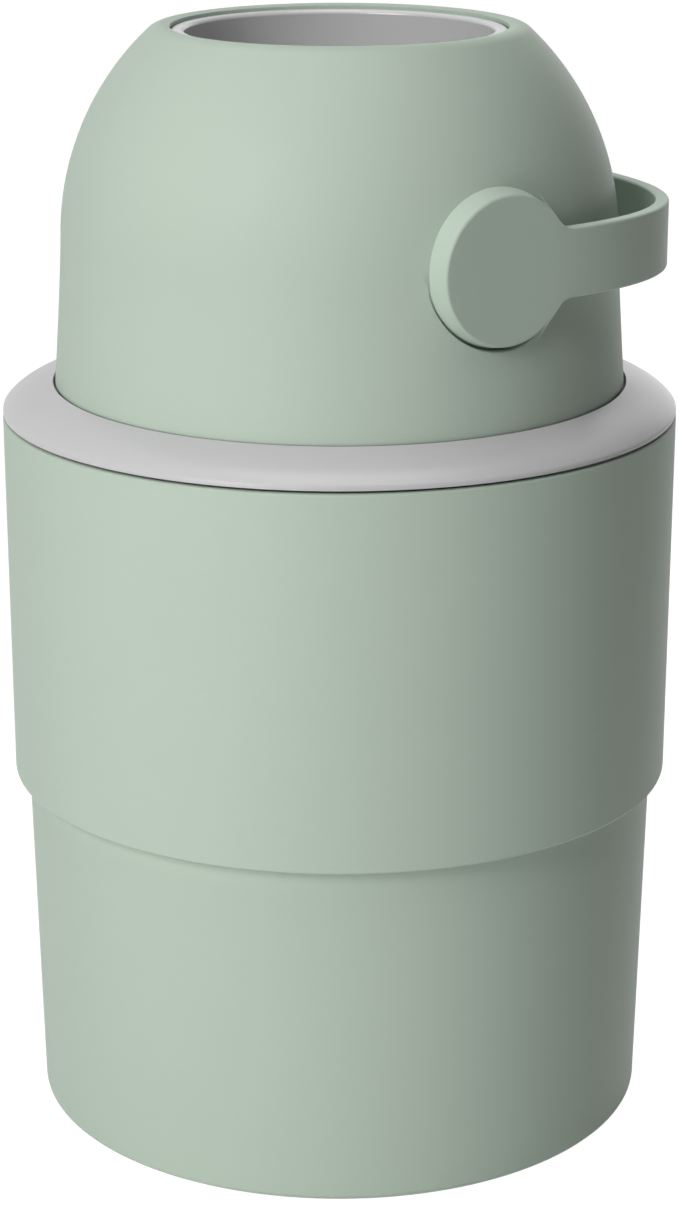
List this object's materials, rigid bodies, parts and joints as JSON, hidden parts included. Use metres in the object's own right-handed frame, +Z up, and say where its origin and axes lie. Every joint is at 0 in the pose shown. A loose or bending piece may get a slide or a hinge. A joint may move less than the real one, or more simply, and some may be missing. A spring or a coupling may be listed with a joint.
{
  "type": "nappy bin",
  "caption": "Round nappy bin with a stepped body, a domed head and a U handle that flips an open drum over so that a sliding piston drops its contents into the bin.",
  "frame": {"origin": "on the floor under the middle of the bin", "axes": "+Z up; the handle turns about an axis along Y and its bow points along +X at rest, so -Y is the side whose disc the picture shows"},
  "size_m": [0.251, 0.251, 0.4125],
  "materials": {
    "body_green": "satin moulded, sage green",
    "handle_green": "satin moulded, sage green",
    "ring_grey": "smooth, light grey",
    "light_grey": "satin moulded, light grey",
    "mid_grey": "satin moulded, grey",
    "soft_seal": "soft moulded seal",
    "foot_rubber": "matt black rubber",
    "steel": "zinc plated"
  },
  "bodies": {
    "bin": {"bucket": "body_green", "upper_sleeve": "body_green", "sleeve_gasket": "soft_seal", "rubber_feet": "foot_rubber"},
    "bag_ring": {"bag_ring": "light_grey"},
    "head": {"head_ring": "ring_grey", "head_gasket": "soft_seal", "dome": "body_green", "dome_screws": "steel", "mouth_seal": "soft_seal", "seal_plate": "mid_grey", "seal_plate_screws": "steel", "throat_seal": "soft_seal", "bush_front": "mid_grey", "bush_back": "mid_grey"},
    "drum": {"handle": "handle_green", "drive_screws": "steel", "drive_washers": "steel", "drum_shell_front": "mid_grey", "drum_shell_back": "mid_grey", "drum_tube": "light_grey", "drum_end_ring": "light_grey"},
    "piston": {"piston_upper": "mid_grey", "piston_lower": "mid_grey", "piston_wiper": "soft_seal", "piston_weight": "steel", "piston_screws": "steel"}
  },
  "joints": [
    {"name": "head_lift", "type": "slide", "parent": "bin", "child": "head", "axis": [0, 0, 1], "range_m": [0, 0.15]},
    {"name": "bag_ring_lift", "type": "slide", "parent": "bin", "child": "bag_ring", "axis": [0, 0, 1], "range_m": [0, 0.075]},
    {"name": "handle_flip", "type": "hinge", "parent": "head", "child": "drum", "pos_m": [0, 0, 0.3395], "axis": [0, -1, 0], "range_deg": [0, 180]},
    {"name": "piston_slide", "type": "slide", "parent": "drum", "child": "piston", "axis": [0, 0, 1], "range_m": [0, 0.106]}
  ],
  "couplings": [
    {"joint": "bag_ring_lift", "follows": "head_lift", "ratio": 0.5}
  ]
}
